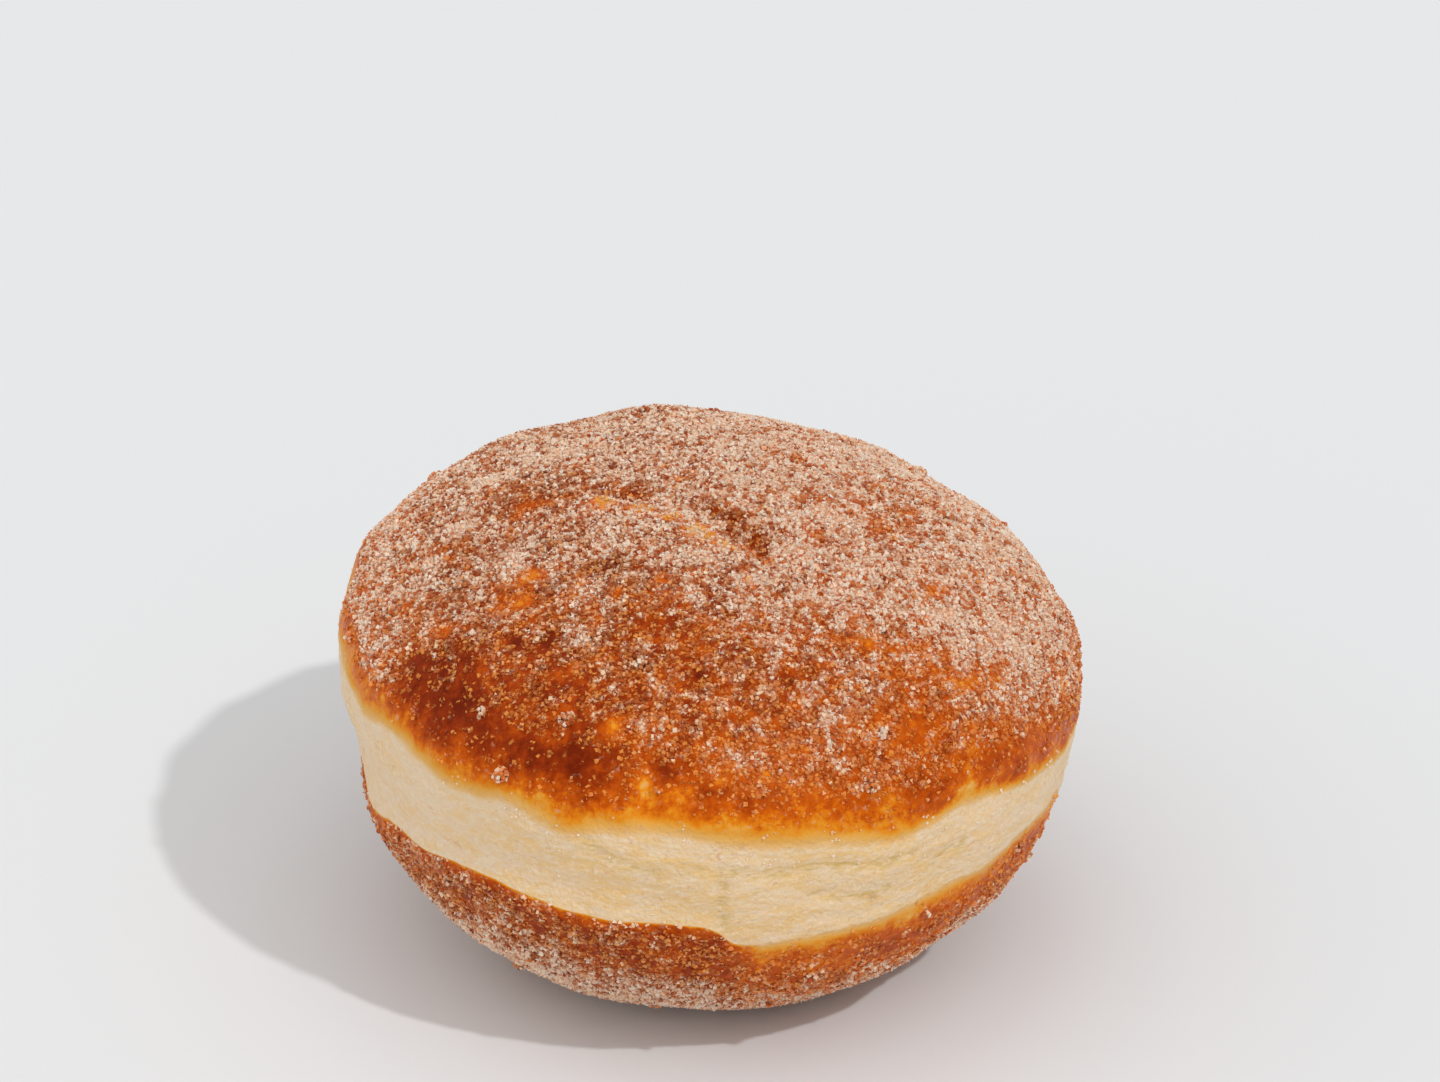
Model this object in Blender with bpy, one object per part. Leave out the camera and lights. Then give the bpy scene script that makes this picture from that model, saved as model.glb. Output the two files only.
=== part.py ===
"""A round yeast doughnut without a hole, rolled in sugar: one solid that rests on its own base.

Metres, +Z up. The origin lies under the middle of the doughnut's box, on the surface that it
stands on. -Y is the side with the widest view of the pale band, and +X is that side's right.
"""

import math
import random

import bmesh
import bpy
from mathutils import Matrix, Vector

MM = 0.001
GOLDEN_ANGLE = math.pi * (3 - math.sqrt(5))

# The dough: a crown above the equator, its widest level, and a fuller base below it
RADIUS = 45.0 * MM
CROWN_RISE = 21.7 * MM
CROWN_FULLNESS = 1.8
BASE_DROP = 39.95 * MM
BASE_FULLNESS = 2.4
EQUATOR_CENTRE = Vector((-0.57, -0.16, 38.15)) * MM

# Its unevenness: the equator's lobes as (count, share of the radius, azimuth of a crest), the
# crown's tilt, the base's push towards the front, and the lean of the whole on its foot
LOBES = ((2, 0.0302, math.radians(-41.7)), (3, 0.0141, math.radians(-3.3)))
CROWN_TILT = 2.62 * MM
CROWN_TILT_AZIMUTH = math.radians(61.5)
BASE_PUSH = 1.76 * MM
LEAN_FORWARD = math.radians(0.6)
LEAN_RIGHT = math.radians(2.6)

# The pale band between the crusts: a shallow waist, deepest at the left
WAIST_HEIGHT = -11.0 * MM
WAIST_WIDTH = 5.0 * MM
WAIST_DEPTH = 0.6 * MM
WAIST_SWING = 0.5 * MM
WAIST_AZIMUTH = math.radians(180)

# The lower crust's rim, as waves round it of (count, height, azimuth of a crest) and local
# rises of (azimuth, height, width), with a notch in front. Its lip stands proud of the band,
# most at the front left
RIM_HEIGHT = -14.1 * MM
RIM_WAVES = (
    (1, 1.45 * MM, math.radians(-18.0)),
    (3, 0.87 * MM, math.radians(1.7)),
    (5, 0.39 * MM, math.radians(17.4)),
    (8, 0.60 * MM, math.radians(6.3)),
)
RIM_RISES = (
    (math.radians(-150), 1.1 * MM, math.radians(8)),
    (math.radians(-170), -1.9 * MM, math.radians(10)),
    (math.radians(-2), -2.3 * MM, math.radians(13)),
)
NOTCH_AZIMUTH = math.radians(-83.5)
NOTCH_DEPTH = 2.9 * MM
NOTCH_LEFT_WIDTH = math.radians(3.0)
NOTCH_RIGHT_WIDTH = math.radians(14.0)
LIP_AZIMUTH = math.radians(-150)
LIP_PROUD = 0.5 * MM
LIP_DROP = 1.2 * MM
LIP_WIDTH = 2.0 * MM

# Where the side bulges (+) or is pressed in (-): azimuth, height, how far, width along and up
SIDE_DENTS = (
    (math.radians(-35), -27.0 * MM, -0.7 * MM, 15.0 * MM, 15.0 * MM),
    (math.radians(-173), -16.5 * MM, -1.0 * MM, 11.0 * MM, 3.2 * MM),
    (math.radians(-18), -17.0 * MM, 0.6 * MM, 10.0 * MM, 5.0 * MM),
)

# The crown's relief: two creases that meet in a dimple, as points in plan, a fold that runs up
# from the crust's edge in front, a blister beside it, and swells all over
CREASES = (
    ((-14.0, -0.3), (-8.6, -4.0), (-2.0, -7.0), (7.0, -14.2), (14.0, -19.5)),
    ((7.0, -14.2), (11.5, -11.2), (17.0, -9.3)),
)
CREASE_DEPTH = 0.7 * MM
CREASE_WIDTH = 1.5 * MM
DIMPLE = Vector((5.5, -12.5)) * MM
DIMPLE_DEPTH = 1.2 * MM
DIMPLE_WIDTH = 4.5 * MM
FOLD_AZIMUTH = math.radians(-98.5)
FOLD_HEIGHT = 5.0 * MM
FOLD_LENGTH = 4.0 * MM
FOLD_DEPTH = 0.6 * MM
FOLD_WIDTH = 1.1 * MM
BLISTER_AZIMUTH = math.radians(-106)
BLISTER_HEIGHT = 9.6 * MM
BLISTER_PROUD = 0.5 * MM
BLISTER_WIDTH = 2.2 * MM
SWELL_SIZE = 0.09 * MM
SWELL_LENGTHS = (11.0 * MM, 14.0 * MM, 18.0 * MM)
SWELL_COUNT = 9
SWELL_PHASE = 2.3

# The skin's mesh, the steps that its profile is measured in, and the corners that stay sharp
SPOKES = 88
RINGS = 40
PROFILE_STEPS = 720
SHARP_ANGLE = math.radians(50)
SAME_PLACE = 0.0001 * MM

# Clumps of sugar that stand out of the crusts, along a spiral from the base to the top
SUGAR_SEED = 7
SPIRAL_STEPS = 165
SPIRAL_UNEVEN = math.radians(4)
CLUMP_RADII = (1.3 * MM, 1.0 * MM, 0.75 * MM)
CLUMP_SUNK = 0.25
CLUMP_UNEVEN = 0.22
CLUMP_NARROWEST = 0.7
CLUMP_FLATTENING = 0.75
CLUMP_CLEAR_OF_BAND = 1.6 * MM
CLUMP_CLEAR_OF_FLOOR = 3.0 * MM
CROWN_EDGE_HEIGHT = 0.5 * MM

CRUST_BROWN = (0.52, 0.25, 0.10, 1.0)
CRUST_ROUGHNESS = 0.6


def angle_between(azimuth, other):
    """Signed angle from the other azimuth to this one, the short way round."""
    return math.remainder(azimuth - other, 2 * math.pi)


def bump(distance, width):
    """A smooth hump: 1 in the middle, about a third at one width from it."""
    return math.exp(-((distance / width) ** 2))


def waves(azimuth, parts):
    """Sum of waves round the doughnut, each (count, size, azimuth of a crest)."""
    return sum(size * math.cos(count * (azimuth - crest)) for count, size, crest in parts)


def distance_to_line(point, points):
    """Distance in plan from a point to a line through points given in millimetres."""
    nearest = math.inf
    for start, end in zip(points, points[1:]):
        start = Vector(start) * MM
        run = Vector(end) * MM - start
        share = (point - start).dot(run) / run.length_squared
        foot = start + run * min(max(share, 0.0), 1.0)
        nearest = min(nearest, (point - foot).length)
    return nearest


def rim_height(azimuth):
    """Height over the equator of the lower crust's rim."""
    turn = angle_between(azimuth, NOTCH_AZIMUTH)
    width = NOTCH_LEFT_WIDTH if turn < 0 else NOTCH_RIGHT_WIDTH
    rises = sum(size * bump(angle_between(azimuth, where), wide) for where, size, wide in RIM_RISES)
    return RIM_HEIGHT + waves(azimuth, RIM_WAVES) + rises - NOTCH_DEPTH * bump(turn, width)


def band_relief(azimuth, height):
    """The waist, the lower crust's lip and the dents in the side."""
    depth = WAIST_DEPTH + WAIST_SWING * math.cos(azimuth - WAIST_AZIMUTH)
    waist = depth * bump(height - WAIST_HEIGHT, WAIST_WIDTH)
    lip_share = max(0.0, math.cos(azimuth - LIP_AZIMUTH))
    lip = LIP_PROUD * lip_share * bump(height - rim_height(azimuth) + LIP_DROP, LIP_WIDTH)
    dents = 0.0
    for dent_azimuth, dent_height, proud, wide, tall in SIDE_DENTS:
        across = bump(RADIUS * angle_between(azimuth, dent_azimuth), wide)
        dents += proud * across * bump(height - dent_height, tall)
    return lip - waist + dents


def crown_relief(point, azimuth, height):
    """The creases, the dimple, the fold in the crust's edge and the blister."""
    plan = Vector((point.x, point.y))
    crease = max(bump(distance_to_line(plan, line), CREASE_WIDTH) for line in CREASES)
    dimple = bump((plan - DIMPLE).length, DIMPLE_WIDTH)
    radius = plan.length
    fold_across = bump(radius * angle_between(azimuth, FOLD_AZIMUTH), FOLD_WIDTH)
    fold = fold_across * bump(height - FOLD_HEIGHT, FOLD_LENGTH)
    blister_across = radius * angle_between(azimuth, BLISTER_AZIMUTH)
    blister = bump(math.hypot(blister_across, height - BLISTER_HEIGHT), BLISTER_WIDTH)
    return BLISTER_PROUD * blister - CREASE_DEPTH * crease - DIMPLE_DEPTH * dimple - FOLD_DEPTH * fold


def swells(point):
    """Low swells of the fried skin: waves that cross it in evenly spread directions."""
    total = 0.0
    for turn in range(SWELL_COUNT):
        up = 1 - (turn + 0.5) / SWELL_COUNT
        out = math.sqrt(1 - up * up)
        direction = Vector((out * math.cos(turn * GOLDEN_ANGLE), out * math.sin(turn * GOLDEN_ANGLE), up))
        length = SWELL_LENGTHS[turn % len(SWELL_LENGTHS)]
        total += math.sin(2 * math.pi * point.dot(direction) / length + turn * SWELL_PHASE)
    return SWELL_SIZE * total


def plain_skin(latitude, azimuth):
    """Point and outward normal of the dough before its relief, round its own equator's centre."""
    above = latitude >= 0
    fullness = CROWN_FULLNESS if above else BASE_FULLNESS
    rise = CROWN_RISE if above else BASE_DROP
    inward = math.cos(latitude)
    upward = abs(math.sin(latitude))
    reach = inward ** (2 / fullness)
    height = math.copysign(rise * upward ** (2 / fullness), latitude)
    radius = RADIUS * reach * (1 + waves(azimuth, LOBES))
    point = Vector((radius * math.cos(azimuth), radius * math.sin(azimuth), height))
    out = inward ** (2 - 2 / fullness) / RADIUS
    up = math.copysign(upward ** (2 - 2 / fullness) / rise, latitude)
    normal = Vector((out * math.cos(azimuth), out * math.sin(azimuth), up)).normalized()
    return point, normal


def skin(latitude, azimuth):
    """Point and outward normal of the finished dough, as it stands."""
    point, normal = plain_skin(latitude, azimuth)
    height = point.z
    reach = math.hypot(point.x, point.y) / RADIUS
    relief = band_relief(azimuth, height) + swells(point)
    if height > 0:
        relief += crown_relief(point, azimuth, height)
        point.z += CROWN_TILT * height / CROWN_RISE * reach * math.cos(azimuth - CROWN_TILT_AZIMUTH)
    else:
        point.y += BASE_PUSH * height / BASE_DROP
    point += normal * relief
    lean = Matrix.Rotation(LEAN_RIGHT, 3, "Y") @ Matrix.Rotation(LEAN_FORWARD, 3, "X")
    return EQUATOR_CENTRE + lean @ point, lean @ normal


def even_latitudes(count):
    """Latitudes from base to top that part the plain profile into equal lengths."""
    fine = [math.pi * (step / PROFILE_STEPS - 0.5) for step in range(PROFILE_STEPS + 1)]
    lengths = [0.0]
    for low, high in zip(fine, fine[1:]):
        lengths.append(lengths[-1] + (plain_skin(high, 0)[0] - plain_skin(low, 0)[0]).length)
    latitudes = []
    for ring in range(1, count):
        wanted = lengths[-1] * ring / count
        after = next(index for index, length in enumerate(lengths) if length >= wanted)
        share = (wanted - lengths[after - 1]) / (lengths[after] - lengths[after - 1])
        latitudes.append(fine[after - 1] + share * (fine[after] - fine[after - 1]))
    return latitudes


def build_dough():
    """The closed dough, with a spoke on the fold's line and a flat where it stands."""
    mesh = bmesh.new()
    azimuths = [FOLD_AZIMUTH + 2 * math.pi * spoke / SPOKES for spoke in range(SPOKES)]
    rings = []
    for latitude in even_latitudes(RINGS):
        rings.append([mesh.verts.new(skin(latitude, azimuth)[0]) for azimuth in azimuths])
    bottom = mesh.verts.new(skin(math.radians(-90), 0)[0])
    top = mesh.verts.new(skin(math.radians(90), 0)[0])
    for spoke in range(SPOKES):
        after = (spoke + 1) % SPOKES
        mesh.faces.new((bottom, rings[0][after], rings[0][spoke]))
        mesh.faces.new((rings[-1][spoke], rings[-1][after], top))
        for low, high in zip(rings, rings[1:]):
            mesh.faces.new((low[spoke], low[after], high[after], high[spoke]))
    everything = mesh.verts[:] + mesh.edges[:] + mesh.faces[:]
    cut = bmesh.ops.bisect_plane(
        mesh,
        geom=everything,
        dist=SAME_PLACE,
        plane_co=(0, 0, 0),
        plane_no=(0, 0, -1),
        clear_outer=True,
    )
    rim = [item for item in cut["geom_cut"] if isinstance(item, bmesh.types.BMEdge)]
    bmesh.ops.holes_fill(mesh, edges=rim)
    return add_object("doughnut", mesh, bpy.context.scene.collection)


def add_object(name, mesh, collection):
    """Turn a bmesh into an object with smooth sides and sharp corners."""
    data = bpy.data.meshes.new(name)
    bmesh.ops.recalc_face_normals(mesh, faces=mesh.faces[:])
    mesh.to_mesh(data)
    mesh.free()
    data.shade_smooth()
    data.set_sharp_from_angle(angle=SHARP_ANGLE)
    piece = bpy.data.objects.new(name, data)
    collection.objects.link(piece)
    return piece


def clump_spots(chance):
    """Latitude and azimuth of each clump, evenly spread over the crusts and clear of the band."""
    spots = []
    for step in range(SPIRAL_STEPS):
        share = (step + 0.5) / SPIRAL_STEPS
        latitude = math.asin(2 * share - 1) + chance.uniform(-SPIRAL_UNEVEN, SPIRAL_UNEVEN)
        azimuth = step * GOLDEN_ANGLE + chance.uniform(-SPIRAL_UNEVEN, SPIRAL_UNEVEN)
        height = plain_skin(latitude, azimuth)[0].z
        below_band = height < rim_height(azimuth) - CLUMP_CLEAR_OF_BAND
        above_band = height > CROWN_EDGE_HEIGHT + CLUMP_CLEAR_OF_BAND
        standing_clear = skin(latitude, azimuth)[0].z > CLUMP_CLEAR_OF_FLOOR
        if (below_band or above_band) and standing_clear:
            spots.append((latitude, azimuth))
    return spots


def build_clumps(collection):
    """Uneven clumps of sugar, sunk a little into the dough."""
    chance = random.Random(SUGAR_SEED)
    for index, (latitude, azimuth) in enumerate(clump_spots(chance)):
        radius = CLUMP_RADII[index % len(CLUMP_RADII)]
        point, normal = skin(latitude, azimuth)
        turn = Matrix.Rotation(chance.uniform(0, 2 * math.pi), 4, normal)
        upright = normal.to_track_quat("Z", "Y").to_matrix().to_4x4()
        narrower = chance.uniform(CLUMP_NARROWEST, 1.0)
        flatter = Matrix.Diagonal((1.0, narrower, CLUMP_FLATTENING, 1.0))
        place = Matrix.Translation(point - normal * radius * CLUMP_SUNK) @ turn @ upright @ flatter
        mesh = bmesh.new()
        bmesh.ops.create_icosphere(mesh, subdivisions=1, radius=radius)
        for vert in mesh.verts:
            vert.co *= 1 + chance.uniform(-CLUMP_UNEVEN, CLUMP_UNEVEN)
        mesh.transform(place)
        add_object(f"sugar_clump_{index:03d}", mesh, collection)


def fuse(piece, collection):
    """Join a collection's objects to the piece by one union, and remove them."""
    union = piece.modifiers.new("fuse_sugar", "BOOLEAN")
    union.operation = "UNION"
    union.operand_type = "COLLECTION"
    union.collection = collection
    union.solver = "EXACT"
    bpy.context.view_layer.objects.active = piece
    bpy.ops.object.modifier_apply(modifier=union.name)
    for clump in list(collection.objects):
        bpy.data.objects.remove(clump, do_unlink=True)
    bpy.data.collections.remove(collection)


def crust_material():
    """Fried crust under sugar: brown, dull, not metallic."""
    material = bpy.data.materials.new("sugared_crust")
    material.use_nodes = True
    shader = material.node_tree.nodes["Principled BSDF"]
    shader.inputs["Base Color"].default_value = CRUST_BROWN
    shader.inputs["Roughness"].default_value = CRUST_ROUGHNESS
    shader.inputs["Metallic"].default_value = 0.0
    material.diffuse_color = CRUST_BROWN
    return material


for leftover in list(bpy.data.objects):
    bpy.data.objects.remove(leftover, do_unlink=True)

doughnut = build_dough()
clumps = bpy.data.collections.new("sugar_clumps")
bpy.context.scene.collection.children.link(clumps)
build_clumps(clumps)
fuse(doughnut, clumps)
doughnut.data.materials.clear()
doughnut.data.materials.append(crust_material())
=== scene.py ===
"""A sugared round doughnut on a pale table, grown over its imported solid."""

import math
import random

import bpy
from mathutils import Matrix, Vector


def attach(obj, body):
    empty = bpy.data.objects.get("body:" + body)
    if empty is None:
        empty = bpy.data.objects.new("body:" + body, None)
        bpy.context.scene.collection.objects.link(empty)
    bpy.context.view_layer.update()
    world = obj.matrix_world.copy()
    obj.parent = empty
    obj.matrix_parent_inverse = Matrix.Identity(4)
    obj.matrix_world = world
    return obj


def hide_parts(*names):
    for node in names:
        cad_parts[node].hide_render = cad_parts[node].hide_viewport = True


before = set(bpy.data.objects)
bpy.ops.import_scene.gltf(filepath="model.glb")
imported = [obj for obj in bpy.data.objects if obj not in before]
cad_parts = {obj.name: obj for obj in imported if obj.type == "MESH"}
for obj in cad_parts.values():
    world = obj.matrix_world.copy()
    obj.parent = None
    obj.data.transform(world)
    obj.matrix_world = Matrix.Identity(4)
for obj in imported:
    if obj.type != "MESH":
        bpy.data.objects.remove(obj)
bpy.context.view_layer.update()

# ---------------------------------------------------------------------------------------------
# The dough: one round of yeast dough, proved, fried on one side and then on the other.
# It floats high in the fat, so a pale band stays round it between the two browned crusts.
# ---------------------------------------------------------------------------------------------

MM = 0.001


class Wire:
    """A value on its way through a node tree; sums written with wires become its maths nodes."""

    def __init__(self, socket):
        self.socket = socket
        self.tree = socket.id_data

    def beside(self, label):
        """The wire from another output of the same node."""
        return Wire(usable(self.socket.node.outputs, label))

    def __add__(self, other):
        return calculate("ADD", self, other)

    def __radd__(self, other):
        return calculate("ADD", other, self)

    def __sub__(self, other):
        return calculate("SUBTRACT", self, other)

    def __rsub__(self, other):
        return calculate("SUBTRACT", other, self)

    def __mul__(self, other):
        return calculate("MULTIPLY", self, other)

    def __truediv__(self, other):
        return calculate("DIVIDE", self, other)

    def __rtruediv__(self, other):
        return calculate("DIVIDE", other, self)


def usable(sockets, label):
    """The socket in use that has this name, or this place among those in use."""
    in_use = [socket for socket in sockets if socket.enabled]
    if isinstance(label, int):
        return in_use[label]
    return next(socket for socket in in_use if socket.name == label)


def feed(socket, value):
    """Link a wire to a socket, or set the socket to a fixed value."""
    if isinstance(value, Wire):
        value.tree.links.new(value.socket, socket)
    elif socket.type == "VECTOR" and isinstance(value, float):
        socket.default_value = (value, value, value)
    else:
        socket.default_value = value


def connect(node, sources):
    """Feed some of a node's inputs, each given by its name or its place."""
    for label, value in sources.items():
        feed(usable(node.inputs, label), value)


def place(tree, kind, sources=None, output=0, **settings):
    """Add a node with its settings and sources, and return the wire from one of its outputs."""
    made = tree.nodes.new(kind)
    for setting, value in settings.items():
        setattr(made, setting, value)
    connect(made, sources or {})
    return Wire(usable(made.outputs, output))


def calculate(operation, *terms):
    """A maths node on wires and numbers, or a vector one if any of its terms is a vector."""
    wires = [term for term in terms if isinstance(term, Wire)]
    with_vector = any(wire.socket.type == "VECTOR" for wire in wires)
    with_vector = with_vector or any(isinstance(term, (tuple, Vector)) for term in terms)
    kind = "ShaderNodeVectorMath" if with_vector else "ShaderNodeMath"
    sources = dict(enumerate(terms))
    return place(wires[0].tree, kind, sources, operation=operation)


def bump(distance, width):
    """A smooth hump: 1 in the middle, about a third at one width from it."""
    share = distance / width
    return calculate("EXPONENT", share * share * -1.0)


def waves(azimuth, parts):
    """Sum of waves round the doughnut, each (count, size, azimuth of a crest in degrees)."""
    total = 0.0
    for count, size, crest in parts:
        total = total + calculate("COSINE", (azimuth - math.radians(crest)) * float(count)) * size
    return total


def turn_from(azimuth, degrees):
    """Signed angle from a fixed azimuth, the short way round."""
    return calculate("WRAP", azimuth - math.radians(degrees), math.pi, -math.pi)


def between(value, low, high):
    """Rises smoothly from 0 at the low value to 1 at the high one."""
    sources = {"Value": value, "From Min": low, "From Max": high}
    return place(value.tree, "ShaderNodeMapRange", sources, interpolation_type="SMOOTHSTEP")


def held(value, low=0.0, high=1.0):
    """The value, kept between two limits."""
    return place(value.tree, "ShaderNodeClamp", {"Value": value, "Min": low, "Max": high})


def vector_of(tree, x, y, z):
    """A vector from its three parts."""
    return place(tree, "ShaderNodeCombineXYZ", {"X": x, "Y": y, "Z": z})


def length_of(vector):
    """The length of a vector."""
    return place(vector.tree, "ShaderNodeVectorMath", {0: vector}, operation="LENGTH", output="Value")


def along(vector, direction):
    """How far a vector reaches in a direction."""
    sources = {0: vector, 1: direction}
    return place(vector.tree, "ShaderNodeVectorMath", sources, operation="DOT_PRODUCT", output="Value")


def mottle(point, size, detail=2.0, shift=0.0, roughness=0.5):
    """Even blotches of about this size, from 0 to 1, the point and the size in millimetres."""
    sources = {
        "Vector": point + (shift, shift * 1.7, shift * 0.6),
        "Scale": 1.0 / size,
        "Detail": detail,
        "Roughness": roughness,
    }
    return place(point.tree, "ShaderNodeTexNoise", sources)


SOCKETS = {
    int: "NodeSocketInt",
    float: "NodeSocketFloat",
    str: "NodeSocketString",
    tuple: "NodeSocketVector",
}


def new_tree(name, kind, inputs):
    """A node tree with named inputs, and the wires from them."""
    tree = bpy.data.node_groups.new(name, kind)
    for label, value in inputs.items():
        if isinstance(value, type) and issubclass(value, bpy.types.NodeSocket):
            tree.interface.new_socket(label, in_out="INPUT", socket_type=value.__name__)
        else:
            socket = tree.interface.new_socket(label, in_out="INPUT", socket_type=SOCKETS[type(value)])
            socket.default_value = value
    start = tree.nodes.new("NodeGroupInput")
    return tree, {label: Wire(start.outputs[label]) for label in inputs}


def give(tree, outputs):
    """Close a node tree with its named outputs."""
    end = tree.nodes.new("NodeGroupOutput")
    for label, wire in outputs.items():
        kind = wire.socket.bl_idname
        tree.interface.new_socket(label, in_out="OUTPUT", socket_type=kind)
        feed(end.inputs[label], wire)
    return tree


def use(tree, group, sources, output=0):
    """Put one node tree into another."""
    kind = "GeometryNodeGroup" if group.bl_idname == "GeometryNodeTree" else "ShaderNodeGroup"
    made = tree.nodes.new(kind)
    made.node_tree = group
    connect(made, sources)
    return Wire(usable(made.outputs, output))


# The dough's sizes are millimetres and its angles degrees, measured from the middle of its widest
# level: a crown above that level, and a fuller base below it
RADIUS = 45.0
CROWN_RISE = 21.7
CROWN_FULLNESS = 1.8
BASE_DROP = 39.95
BASE_FULLNESS = 2.4
EQUATOR_CENTRE = (-0.57, -0.16, 38.15)

# Its unevenness: the lobes of the widest level as (count, share of the radius, crest), the
# crown's tilt, the base's push towards the front, and the lean of the whole on its foot
LOBES = ((2, 0.0302, -41.7), (3, 0.0141, -3.3))
CROWN_TILT = 2.62
CROWN_TILT_AZIMUTH = 61.5
BASE_PUSH = 1.76
LEAN = (math.radians(0.6), math.radians(2.6), 0.0)

# The lower crust's rim, as waves round it of (count, height, crest) and local rises of
# (azimuth, height, width), with a notch in front. Its lip stands proud of the band
RIM_HEIGHT = -14.1
RIM_WAVES = ((1, 1.45, -18.0), (3, 0.87, 1.7), (5, 0.39, 17.4), (8, 0.60, 6.3))
RIM_RISES = ((-150.0, 1.1, 8.0), (-170.0, -1.9, 10.0), (-24.0, 3.4, 11.0), (-2.0, -2.3, 13.0))
NOTCH_AZIMUTH = -83.5
NOTCH_DEPTH = 2.9
NOTCH_LEFT_WIDTH = math.radians(3.0)
NOTCH_RIGHT_WIDTH = math.radians(14.0)
LIP_AZIMUTH = -150.0
LIP_PROUD = 0.5
LIP_DROP = 1.2
LIP_WIDTH = 2.0

# The crown crust's lower edge, given as the rim is
EDGE_HEIGHT = 0.7
EDGE_WAVES = ((1, 1.32, 154.0), (3, 0.69, 38.7), (7, 0.70, 9.9), (15, 0.43, -0.4))
EDGE_RISES = ((-170.0, 1.0, 12.0), (-119.5, 1.2, 6.0), (-111.0, -0.6, 3.0), (-22.0, -1.2, 8.0))

# The pale band's shallow waist, deepest at the left, and where the side bulges or is pressed in,
# as (azimuth, height, how far, width along, width up)
WAIST_HEIGHT = -11.0
WAIST_WIDTH = 5.0
WAIST_DEPTH = 0.6
WAIST_SWING = 0.5
SIDE_DENTS = (
    (-35.0, -27.0, -0.7, 15.0, 15.0),
    (-173.0, -16.5, -1.0, 11.0, 3.2),
    (-18.0, -17.0, 0.6, 10.0, 5.0),
)

# The crown's relief: two creases that meet in a dimple, as points in plan, a fold that runs up
# from the crust's edge in front, a blister beside it, and swells all over
CREASES = (
    ((-14.0, -0.3), (-8.6, -4.0), (-2.0, -7.0), (7.0, -14.2), (14.0, -19.5)),
    ((7.0, -14.2), (11.5, -11.2), (17.0, -9.3)),
)
CREASE_DEPTH = 0.7
CREASE_WIDTH = 1.5
DIMPLE = (5.5, -12.5, 0.0)
DIMPLE_DEPTH = 1.2
DIMPLE_WIDTH = 4.5
FOLD_AZIMUTH = -98.5
FOLD_HEIGHT = 5.0
FOLD_LENGTH = 4.0
FOLD_DEPTH = 0.6
FOLD_WIDTH = 1.1
BLISTER_AZIMUTH = -106.0
BLISTER_HEIGHT = 9.6
BLISTER_PROUD = 0.5
BLISTER_WIDTH = 2.2
SWELL_SIZE = 0.09
SWELL_LENGTHS = (11.0, 14.0, 18.0)
SWELL_COUNT = 9
SWELL_PHASE = 2.3
GOLDEN_ANGLE = math.pi * (3 - math.sqrt(5))


def distance_to_lines(plan, lines):
    """Distance in plan to the nearest of some lines, each a row of points."""
    nearest = None
    for start, end in [ends for line in lines for ends in zip(line, line[1:])]:
        start = Vector((*start, 0.0))
        run = Vector((*end, 0.0)) - start
        share = held(along(plan - tuple(start), tuple(run)) / run.length_squared)
        foot = share * tuple(run) + tuple(start)
        distance = length_of(plan - foot)
        nearest = distance if nearest is None else calculate("MINIMUM", nearest, distance)
    return nearest


def with_rises(height, azimuth, rises):
    """A height round the doughnut with its local rises, each (azimuth, height, width)."""
    for where, size, wide in rises:
        height = height + bump(turn_from(azimuth, where), math.radians(wide)) * size
    return height


def rim_height(azimuth):
    """Height of the lower crust's rim, which waves and has one notch in front."""
    turn = turn_from(azimuth, NOTCH_AZIMUTH)
    right = calculate("GREATER_THAN", turn, 0.0)
    width = right * (NOTCH_RIGHT_WIDTH - NOTCH_LEFT_WIDTH) + NOTCH_LEFT_WIDTH
    rim = with_rises(waves(azimuth, RIM_WAVES), azimuth, RIM_RISES)
    return rim + RIM_HEIGHT - bump(turn, width) * NOTCH_DEPTH


def edge_height(azimuth):
    """Height of the crown crust's lower edge, where the pale band starts."""
    return with_rises(waves(azimuth, EDGE_WAVES), azimuth, EDGE_RISES) + EDGE_HEIGHT


def band_relief(azimuth, height, radius):
    """The waist round the band, the lower crust's lip over it and the dents in the side."""
    depth = calculate("COSINE", azimuth - math.pi) * WAIST_SWING + WAIST_DEPTH
    waist = depth * bump(height - WAIST_HEIGHT, WAIST_WIDTH)
    towards = calculate("MAXIMUM", calculate("COSINE", azimuth - math.radians(LIP_AZIMUTH)), 0.0)
    lip = towards * bump(height - rim_height(azimuth) + LIP_DROP, LIP_WIDTH) * LIP_PROUD
    dents = 0.0
    for where, up, proud, wide, tall in SIDE_DENTS:
        across = bump(radius * turn_from(azimuth, where), wide)
        dents = dents + across * bump(height - up, tall) * proud
    return lip - waist + dents


def crown_relief(plan, azimuth, height):
    """The creases, the dimple that they meet in, the fold at the edge and the blister beside it."""
    crease = bump(distance_to_lines(plan, CREASES), CREASE_WIDTH) * CREASE_DEPTH
    dimple = bump(length_of(plan - DIMPLE), DIMPLE_WIDTH) * DIMPLE_DEPTH
    reach = length_of(plan)
    fold = bump(reach * turn_from(azimuth, FOLD_AZIMUTH), FOLD_WIDTH)
    fold = fold * bump(height - FOLD_HEIGHT, FOLD_LENGTH) * FOLD_DEPTH
    across = reach * turn_from(azimuth, BLISTER_AZIMUTH)
    from_blister = vector_of(plan.tree, across, height - BLISTER_HEIGHT, 0.0)
    blister = bump(length_of(from_blister), BLISTER_WIDTH) * BLISTER_PROUD
    return blister - crease - dimple - fold


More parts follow.
